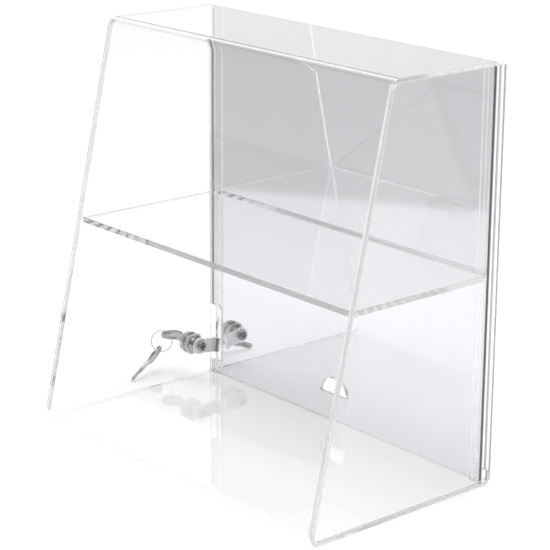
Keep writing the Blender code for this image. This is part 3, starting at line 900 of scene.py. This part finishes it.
# --- lock
@dataclass
class CamLock(Assembly):
    """The cam lock: barrel, nut, plug, cam, washer and screw."""

    flange_radius: float = 0.0104
    flange_thick: float = 0.0050
    flange_round: float = 0.0014
    foot_share: float = 0.3
    barrel_radius: float = 0.0080
    barrel_flat: float = 0.0070
    bore: float = 0.0060
    thread_pitch: float = 0.00095
    thread_depth: float = 0.00035
    thread_crest: float = 0.45
    thread_root: float = 0.95
    nut_corner: float = 0.018 / math.sqrt(3)
    hole_play: float = 0.0003
    edge_round: float = 0.0003
    cam_start: float = 0.0205
    cam_hub: float = 0.0076
    cam_half: float = 0.0068
    cam_reach: float = 0.0208
    cam_thick: float = 0.0020
    cam_lip: float = 0.0055
    cam_bend: float = 0.0020
    bend_steps: int = 8
    cam_lean: float = -7.0
    washer_bore: float = 0.0024
    washer_rim: tuple[float, float] = (0.0003, 0.0002)
    washer_dish: float = 0.00015
    washer_land: tuple[float, float] = (0.78, 0.70)
    screw_head: tuple[float, float] = (0.0048, 0.0024)
    screw_shank: tuple[float, float] = (0.0020, 0.0008)
    screw_tip: float = 0.0006
    dome_top: float = 0.30
    dome_turn: float = 0.92
    dome_side: float = 0.35
    cross_depth: float = 0.65
    cross: tuple[float, float] = (0.66, 0.16)

    def build_barrel(self, lock: Vector) -> Piece:
        """Turn the flanged barrel with its thread, then mill its two flats."""
        low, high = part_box("lock_barrel")
        length = high.x - low.x
        body = length - self.flange_thick
        rim = self.flange_round
        profile: Profile = [(self.bore, 0.0), (self.barrel_radius - self.thread_depth, 0.0)]
        turns = int(body / self.thread_pitch)
        for k in range(turns):
            base = body * k / turns
            profile += [(self.barrel_radius, base + self.thread_pitch * self.thread_crest),
                        (self.barrel_radius - self.thread_depth,
                         base + self.thread_pitch * self.thread_root)]
        profile[-1] = (self.barrel_radius - self.thread_depth, body)
        foot = rim * self.foot_share
        profile += [(self.flange_radius - foot, body), (self.flange_radius, body + foot),
                    (self.flange_radius, length - rim)]
        for step in range(1, 5):
            angle = math.pi / 2 * step / 4
            profile.append((self.flange_radius - rim * (1 - math.cos(angle)),
                            length - rim + rim * math.sin(angle)))
        profile += [(self.bore + rim, length), (self.bore, length - rim * 0.8)]
        place = Matrix.Translation((high.x, lock.y, lock.z)) @ OUTWARD
        obj = turned("lock_barrel_body", profile, place, closed=True)
        span = (low.x + self.flange_thick, high.x + length)
        mill_flats(obj, lock, self.barrel_flat, span, self.flange_radius)
        clean(obj)
        smooth(obj)
        return obj

    def build_nut(self, lock: Vector) -> Piece:
        """Make the chamfered hexagon nut."""
        low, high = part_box("lock_nut")
        start, end = Vector((low.x, lock.y, lock.z)), Vector((high.x, lock.y, lock.z))
        deselect_all()
        obj = add_cylinder("lock_clamp_nut", self.nut_corner, start, end, 6)
        spin = Matrix.Translation(start) @ Matrix.Rotation(math.pi / 6, 4, "X")
        flat_top = max(v.co.z for v in obj.data.vertices)
        if abs(flat_top - high.z) > SMALL:
            obj.data.transform(spin @ Matrix.Translation(-start))
        radius = self.barrel_radius + self.hole_play
        combine(obj, add_cylinder("bore_tool", radius, start - AXIS_X * radius,
                                  end + AXIS_X * radius, 48))
        clean(obj)
        soften(obj, self.edge_round, 2)
        return obj

    def build_cam(self, lock: Vector) -> Piece:
        """Stamp the cam: a round hub with a straight arm and a tip bent inward."""
        x = lock.x + self.cam_start
        obj = add_cylinder("lock_cam", self.cam_hub, Vector((x, lock.y, lock.z)),
                           Vector((x + self.cam_thick, lock.y, lock.z)), 64)
        end = lock.y + self.cam_reach
        inner = end - self.cam_thick
        arm = add_box("arm", (x, lock.y, lock.z - self.cam_half),
                      (x + self.cam_thick, end, lock.z + self.cam_half))
        pick(arm, "FACE", lambda m, n: True)
        bpy.ops.mesh.bisect(plane_co=(0, inner, 0), plane_no=(0, 1, 0))
        leave_edit()
        pick(arm, "FACE", lambda m, n: n.x > FACING and m.y > inner)
        extrude((self.cam_lip - self.cam_thick, 0, 0))
        leave_edit()
        for edge_x, edge_y, radius in ((x, end, self.cam_bend + self.cam_thick),
                                       (x + self.cam_thick, inner, self.cam_bend)):
            bevel_edges(arm, lambda a, b: all(math.hypot(p.x - edge_x, p.y - edge_y) < SMALL
                                              for p in (a, b)), radius, self.bend_steps)
        combine(obj, arm, "UNION")
        clean(obj)
        soften(obj, self.edge_round, 3)
        lean = Matrix.Rotation(math.radians(self.cam_lean), 4, "X")
        obj.data.transform(Matrix.Translation(lock) @ lean @ Matrix.Translation(-lock))
        return obj

    def build_washer(self, lock: Vector) -> Piece:
        """Turn the dished washer under the screw."""
        low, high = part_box("cam_washer")
        thick = high.x - low.x
        radius = (high.z - low.z) / 2
        bore, (wide, tall), dish = self.washer_bore, self.washer_rim, self.washer_dish
        land, hollow = self.washer_land
        profile: Profile = [(bore, 0.0), (radius - wide, 0.0), (radius, tall),
                            (radius, thick - tall), (radius - wide, thick),
                            (radius * land, thick), (radius * hollow, thick - dish),
                            (bore, thick - dish)]
        place = Matrix.Translation((low.x, lock.y, lock.z)) @ INWARD
        obj = turned("cam_screw_washer", profile, place, closed=True)
        smooth(obj)
        return obj

    def build_screw(self, lock: Vector) -> Piece:
        """Turn the pan-head screw and press its cross recess."""
        low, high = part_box("cam_screw")
        radius, head = self.screw_head
        seat = high.x - head - low.x
        shank, point = self.screw_shank
        profile: Profile = [(shank - point, 0.0), (shank, self.screw_tip), (shank, seat),
                            (radius, seat)]
        for k in range(self.bend_steps + 1):
            angle = math.pi / 2 * k / self.bend_steps
            across = self.dome_top + (1 - self.dome_top) * math.cos(angle * self.dome_turn)
            up = self.dome_side + (1 - self.dome_side) * math.sin(angle)
            profile.append((radius * across, seat + head * up))
        place = Matrix.Translation((low.x, lock.y, lock.z)) @ INWARD
        obj = turned("cam_fixing_screw", profile, place)
        pick(obj, "FACE", lambda m, n: False)
        bpy.ops.mesh.select_mode(type="EDGE")
        bpy.ops.mesh.select_non_manifold()
        bpy.ops.mesh.edge_face_add()
        leave_edit()
        clean(obj)
        for wide, tall in (self.cross, self.cross[::-1]):
            tool = add_box("cross", (high.x - head * self.cross_depth, lock.y - radius * wide,
                                     lock.z - radius * tall),
                           (high.x + head, lock.y + radius * wide, lock.z + radius * tall))
            combine(obj, tool)
        clean(obj)
        smooth(obj)
        return obj

    def build_plug(self) -> Piece:
        """Refine the plug: weld its surface, merge its flat faces and shade it smooth."""
        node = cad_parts["lock_plug"]
        obj = bpy.data.objects.new("lock_plug_turned", node.data.copy())
        bpy.context.scene.collection.objects.link(obj)
        clean(obj)
        pick(obj, "FACE", lambda m, n: True)
        bpy.ops.mesh.dissolve_limited(angle_limit=math.radians(1.0))
        leave_edit()
        smooth(obj)
        return obj

    def build(self, lock: Vector) -> None:
        """Build and dress the lock."""
        steps = (("lock_barrel", self.build_barrel(lock), Body.CASE, Slot.NICKEL, NICKEL),
                 ("lock_nut", self.build_nut(lock), Body.CASE, Slot.NICKEL, NICKEL),
                 ("cam_plate", self.build_cam(lock), Body.LOCK, Slot.ZINC, ZINC),
                 ("cam_washer", self.build_washer(lock), Body.LOCK, Slot.ZINC, ZINC),
                 ("cam_screw", self.build_screw(lock), Body.LOCK, Slot.NICKEL, NICKEL_WORN),
                 ("lock_plug", self.build_plug(), Body.LOCK, Slot.BRASS, NICKEL_WORN))
        tip = lock.y + self.cam_reach - self.cam_thick - self.cam_bend
        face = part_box("cam_screw")[1].x
        recess = self.screw_head[0] * self.cross[0] * 1.05

        # Painted shade: the bent tip's face towards the front gets the dark zinc.
        def in_bend(middle: Vector, normal: Vector) -> bool:
            return normal.y < -0.6 and middle.y > tip

        # Painted shade: the cross recess gets the near-black finish, where shade falls in it.
        def in_cross(middle: Vector, normal: Vector) -> bool:
            off_axis = math.hypot(middle.y - lock.y, middle.z - lock.z)
            deep = middle.x < face - self.screw_head[1] * 0.1
            return off_axis < recess and middle.x > face - self.screw_head[1] and deep

        # Painted shade on the cam's bent tip and in the screw's cross recess.
        darker = {"cam_plate": [(PAINTED_SHADE_ZINC, in_bend)], "cam_screw": [(PAINTED_SHADE_DARK, in_cross)]}
        for node, obj, body, slot, finish in steps:
            self.dress(obj, finish, darker.get(node, ()))
            self.place(obj, node, body, slot)
        for index in range(1, 5):
            self.dress_node(f"wafer_{index}", BRASS)
            self.dress_node(f"wafer_spring_{index}", STEEL)


# --- keys
@dataclass
class KeySet(Assembly):
    """Two like keys, one in the plug, and the split ring that joins them."""

    bow_radius: float = 0.0105
    bow_thick: float = 0.0024
    rim: float = 0.0017
    recess: float = 0.00045
    hole_radius: float = 0.0034
    hole_offset: float = 0.0064
    neck_half: float = 0.0040
    shoulder: float = 0.0230
    blade_half: float = 0.0030
    blade_thick: float = 0.0018
    blade_length: float = 0.0138
    cuts: int = 4
    cut_depth: float = 0.0008
    edge_round: float = 0.0003
    ring_radius: float = 0.0100
    wire: float = 0.00036
    boss_wall: float = 0.4
    tip_round: float = 0.55
    cut_shares: tuple[float, ...] = (1.0, 0.55, 0.85, 0.4)
    cut_run: float = 0.8
    groove_half: float = 0.0004
    groove_floor: float = 0.45
    groove_places: tuple[float, float] = (0.25, -0.30)
    ring_rise: float = 0.0003
    ring_normal: Point = (0.7287, -0.6284, 0.2722)
    hang: Point = (-0.2214, -0.5924, -0.7746)
    spare_hang: Point = (-0.019, -0.4155, -0.9094)
    spare_roll: float = 12.0
    spare_along: Point = (0.2152, -0.8775, -0.3980)
    wire_turns: float = 1.92
    wire_rise: float = 1.44
    wire_steps: int = 150
    wire_sides: int = 12

    def disc(self, name: str, radius: float, x: float, span: tuple[float, float],
             sides: int = 48) -> Piece:
        """Add a disc lying flat at x, between two heights."""
        return add_cylinder(name, radius, Vector((x, 0, span[0])), Vector((x, 0, span[1])),
                            sides)

    def build_blank(self) -> Piece:
        """Model one key lying in the XY plane, its bow at the origin."""
        half = self.bow_thick / 2
        key = self.disc("key_blank", self.bow_radius, 0.0, (-half, half), 96)
        neck = add_box("neck", (self.bow_radius * 0.8, -self.neck_half, -half),
                       (self.shoulder, self.neck_half, half))
        combine(key, neck, "UNION")
        for sign in (-1, 1):
            floor, clear = sign * (half - self.recess), sign * (half + self.recess)
            combine(key, self.disc("recess_tool", self.bow_radius - self.rim, 0.0,
                                   (floor, clear), 72))
            boss = self.disc("boss", self.hole_radius + self.rim * self.boss_wall, -self.hole_offset,
                             (0.0, sign * half))
            combine(key, boss, "UNION")
        blade = self.build_blade()
        combine(key, blade, "UNION")
        combine(key, self.disc("ring_hole", self.hole_radius, -self.hole_offset,
                               (-self.bow_thick, self.bow_thick)))
        clean(key, 4e-6)
        soften(key, self.edge_round * 0.6, 2, 50.0)
        return key

    def build_blade(self) -> Piece:
        """Mill the blade: side grooves and V cuts on both edges."""
        half = self.blade_thick / 2
        end = self.shoulder + self.blade_length
        blade = add_box("blade", (self.shoulder - self.neck_half, -self.blade_half, -half),
                        (end, self.blade_half, half))
        bevel_edges(blade, lambda a, b: min(a.x, b.x) > end - SMALL
                    and abs(a.z - b.z) > SMALL, self.blade_half * self.tip_round, 3)
        spacing = self.blade_length * self.cut_run / self.cuts
        for k in range(self.cuts):
            depth = self.cut_depth * self.cut_shares[k % len(self.cut_shares)]
            x = self.shoulder + spacing * (k + 0.9)
            for sign in (-1, 1):
                tip = Vector((x, sign * (self.blade_half - depth), 0))
                tool = add_box("cut", (-depth * 2, -depth * 2, -self.blade_thick),
                               (depth * 2, depth * 2, self.blade_thick))
                tool.data.transform(Matrix.Rotation(math.pi / 4, 4, "Z"))
                rise = Vector((0, sign * depth * 2 * math.sqrt(2), 0))
                tool.data.transform(Matrix.Translation(tip + rise))
                combine(blade, tool)
        for sign, place in zip((-1, 1), self.groove_places):
            y = self.blade_half * place
            low_z, high_z = sorted((sign * half * self.groove_floor, sign * half * 1.5))
            start, wide = self.shoulder - self.neck_half, self.groove_half
            combine(blade, add_box("groove", (start, y - wide, low_z),
                                   (end * 1.1, y + wide, high_z)))
        clean(blade, 4e-6)
        return blade

    def copy_key(self, blank: Piece, name: str, place: Matrix) -> Piece:
        """Copy the modelled key with its own mesh and put it in its place."""
        obj = bpy.data.objects.new(name, blank.data.copy())
        bpy.context.scene.collection.objects.link(obj)
        obj.data.transform(place)
        return obj

    def frame_at(self, along: Vector, up: Vector, origin: Vector) -> Matrix:
        """Return a place with a given X direction and nearly a given Z."""
        x_axis = along.normalized()
        y_axis = up.cross(x_axis).normalized()
        z_axis = x_axis.cross(y_axis)
        turn = Matrix((x_axis, y_axis, z_axis)).transposed().to_4x4()
        return Matrix.Translation(origin) @ turn

    def build_ring(self, centre: Vector) -> Piece:
        """Wind the split ring: two close turns of wire."""
        deselect_all()
        bpy.ops.mesh.primitive_circle_add(vertices=self.wire_sides, radius=self.wire,
                                          fill_type="NGON",
                                          location=(self.ring_radius, 0, 0),
                                          rotation=(math.pi / 2, 0, 0))
        obj = named("split_key_ring")
        step = self.wire * self.wire_rise / self.wire_steps
        pick(obj, "FACE", lambda m, n: True)
        middle = Vector((0.0, 0.0, 0.0))
        for _ in range(self.wire_steps):
            extrude((0, 0, step))
            middle.z += step
            bpy.ops.transform.rotate(value=math.tau * self.wire_turns / self.wire_steps,
                                     orient_axis="Z", center_override=middle)
        leave_edit()
        clean(obj, 1e-7)
        heights = [v.co.z for v in obj.data.vertices]
        drop = (max(heights) + min(heights)) / 2
        turn = AXIS_Z.rotation_difference(unit(self.ring_normal)).to_matrix().to_4x4()
        obj.data.transform(Matrix.Translation(centre) @ turn
                           @ Matrix.Translation((0, 0, -drop)))
        smooth(obj, 60.0)
        return obj

    def build(self, lock: Vector) -> None:
        """Build and dress both keys and the ring."""
        low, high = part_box("key_in_lock")
        bow = Vector((low.x + self.bow_radius, lock.y, lock.z))
        hole = bow - AXIS_X * self.hole_offset + AXIS_Z * self.ring_rise
        ring_centre = hole + unit(self.hang) * self.ring_radius
        spare_hole = ring_centre + unit(self.spare_hang) * self.ring_radius
        along = unit(self.spare_along)
        roll = Matrix.Rotation(math.radians(self.spare_roll), 3, along)
        up = roll @ along.cross(unit(self.ring_normal))
        blank = self.build_blank()
        in_lock = self.copy_key(blank, "key_in_plug", Matrix.Translation(bow))
        spare_place = self.frame_at(along, up, spare_hole + along * self.hole_offset)
        spare = self.copy_key(blank, "key_on_ring", spare_place)
        bpy.data.objects.remove(blank, do_unlink=True)
        ring = self.build_ring(ring_centre)
        for node, obj, body, slot, finish in (
                ("key_in_lock", in_lock, Body.KEY, Slot.NICKEL, NICKEL_WORN),
                ("key_ring", ring, Body.RING, Slot.STEEL, STEEL),
                ("spare_key", spare, Body.SPARE, Slot.NICKEL, NICKEL_WORN)):
            self.dress(obj, finish)
            self.place(obj, node, body, slot)


# --- studio
@dataclass(frozen=True)
class Studio:
    """A pale floor with its own painted glow and painted shade, soft light all round and the camera.
    """

    camera_place: Point = (1.1767, -1.0023, 0.6355)
    camera_right: Point = (0.65166, 0.75848, 0.00652)
    camera_up: Point = (-0.21059, 0.17266, 0.96221)
    camera_back: Point = (0.72869, -0.62841, 0.27224)
    lens: float = 125.86
    sensor: float = 36.0
    shift: tuple[float, float] = (0.00806, -0.0833)
    floor_reach: float = 12.0
    floor_drop: float = 0.0002
    # Painted light on the floor: pale is its bright tone, dim its painted shade beyond pale_edge,
    # glow its own emission.
    pale_edge: tuple[float, float, float] = (0.534, 0.845, -0.670)
    pale: float = 0.60
    dim: float = 0.36
    glow: float = 0.85
    surround: float = 1.30
    room: float = 0.85
    dark_side: float = 0.10
    lit_fade: float = 0.03
    near_share: float = 0.95
    near_reach: float = 0.5
    white_band: tuple[float, float] = (-0.45, -0.15)
    viewer_band: tuple[float, float] = (0.35, 0.75)
    height_band: tuple[float, float] = (0.55, 0.80)
    lamp_size: tuple[float, float] = (1.2, 0.9)
    lamp_power: float = 9.0
    lamp_place: Point = (-0.3, 0.2, 1.7)
    lamp_turn: Point = (0.0, -0.12, 0.0)
    bounces: int = 160

    def build_camera(self) -> None:
        """Put the camera at its viewing angle."""
        data = bpy.data.cameras.new("camera")
        data.lens = self.lens
        data.sensor_width = self.sensor
        data.shift_x, data.shift_y = self.shift
        data.clip_start = 0.01
        camera = bpy.data.objects.new("camera", data)
        bpy.context.scene.collection.objects.link(camera)
        turn = Matrix((self.camera_right, self.camera_up, self.camera_back)).transposed()
        camera.matrix_world = Matrix.Translation(self.camera_place) @ turn.to_4x4()
        bpy.context.scene.camera = camera

    def build_floor(self) -> None:
        """Lay the pale floor with painted light: it glows by itself, and painted shade makes it
        dimmer beyond the front edge of its bright part.
        """
        deselect_all()
        bpy.ops.mesh.primitive_plane_add(size=self.floor_reach * 2, location=(0, 0, -self.floor_drop))
        floor = named("studio_floor")
        made, sheet = start_material("studio_floor_painted_light_and_shade")
        place = sheet.add("ShaderNodeTexCoord")
        split = sheet.add("ShaderNodeSeparateXYZ")
        sheet.link(place.outputs["Object"], split.inputs[0])
        east, north, edge = self.pale_edge
        along = sheet.along(split.outputs[0], split.outputs[1], east, north)
        # Painted shade: the colour drops from pale to dim across the edge, and near makes it a little
        # darker close to the edge.
        lit = sheet.ramp(along, edge - self.lit_fade, edge + self.lit_fade, self.dim, self.pale)
        near = sheet.ramp(along, edge, edge + self.near_reach, self.near_share, 1.0)
        value = sheet.math("MULTIPLY", lit, near)
        colour = sheet.add("ShaderNodeCombineColor")
        for socket in colour.inputs:
            sheet.link(value, socket)
        shader = sheet.add("ShaderNodeBsdfPrincipled")
        sheet.link(colour.outputs[0], shader.inputs["Base Color"])
        sheet.link(colour.outputs[0], shader.inputs["Emission Color"])
        shader.inputs["Emission Strength"].default_value = self.glow
        shader.inputs["Roughness"].default_value = 0.9
        shader.inputs["Specular IOR Level"].default_value = 0.0
        sheet.finish(shader.outputs[0])
        floor.data.materials.append(made)

    def build_surround(self) -> None:
        """Light the scene from all round: white behind, dim in front."""
        world = bpy.data.worlds.new("studio_surround")
        bpy.context.scene.world = world
        world.use_nodes = True
        world.node_tree.nodes.clear()
        sheet = NodeSheet(world.node_tree)
        place = sheet.add("ShaderNodeTexCoord")
        split = sheet.add("ShaderNodeSeparateXYZ")
        sheet.link(place.outputs["Generated"], split.inputs[0])
        x, y, z = split.outputs
        east, north, _ = self.pale_edge
        behind = sheet.along(x, y, east, north)
        white = sheet.ramp(behind, *self.white_band, self.room, self.surround)
        toward = sheet.along(x, y, *self.camera_back[:2])
        viewer = sheet.ramp(toward, *self.viewer_band)
        low = sheet.ramp(z, *self.height_band, 1.0, 0.0)
        viewer = sheet.math("MULTIPLY", viewer, low)
        keep = sheet.math("SUBTRACT", 1.0, viewer)
        value = sheet.math("ADD", sheet.math("MULTIPLY", white, keep),
                           sheet.math("MULTIPLY", viewer, self.dark_side))
        background = sheet.add("ShaderNodeBackground")
        sheet.link(value, background.inputs["Strength"])
        out = sheet.add("ShaderNodeOutputWorld")
        sheet.link(background.outputs[0], out.inputs["Surface"])

    def build_lamp(self) -> None:
        """Hang one soft lamp overhead."""
        data = bpy.data.lights.new("soft_box", "AREA")
        data.shape = "RECTANGLE"
        data.size, data.size_y = self.lamp_size
        data.energy = self.lamp_power
        lamp = bpy.data.objects.new("soft_box", data)
        lamp.location = self.lamp_place
        lamp.rotation_euler = self.lamp_turn
        bpy.context.scene.collection.objects.link(lamp)

    def build(self) -> None:
        """Build the whole studio."""
        self.build_camera()
        self.build_floor()
        self.build_surround()
        self.build_lamp()
        scene = bpy.context.scene
        scene.view_settings.view_transform = "Standard"
        scene.cycles.max_bounces = self.bounces
        scene.cycles.transmission_bounces = self.bounces
        scene.cycles.glossy_bounces = self.bounces
        scene.cycles.transparent_max_bounces = self.bounces
        scene.cycles.diffuse_bounces = 3
        scene.cycles.caustics_reflective = True
        scene.cycles.caustics_refractive = True


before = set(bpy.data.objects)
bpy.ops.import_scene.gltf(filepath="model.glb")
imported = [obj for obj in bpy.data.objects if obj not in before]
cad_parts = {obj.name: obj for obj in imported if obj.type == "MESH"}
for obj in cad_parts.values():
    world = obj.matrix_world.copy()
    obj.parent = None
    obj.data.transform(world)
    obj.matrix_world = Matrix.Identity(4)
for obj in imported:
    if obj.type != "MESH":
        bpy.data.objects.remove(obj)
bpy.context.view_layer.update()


def main() -> None:
    """Build every sub-assembly in order, then the studio."""
    logging.basicConfig(level=logging.INFO, format="%(name)s %(message)s")
    rack = FinishRack()
    plug_low, plug_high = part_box("lock_plug")
    lock = Vector((plug_low.x, (plug_low.y + plug_high.y) / 2, (plug_low.z + plug_high.z) / 2))
    ClearCase(rack).build(lock)
    MirrorDoor(rack).build()
    CamLock(rack).build(lock)
    KeySet(rack).build(lock)
    Studio().build()
    deselect_all()


if __name__ == "__main__":
    main()
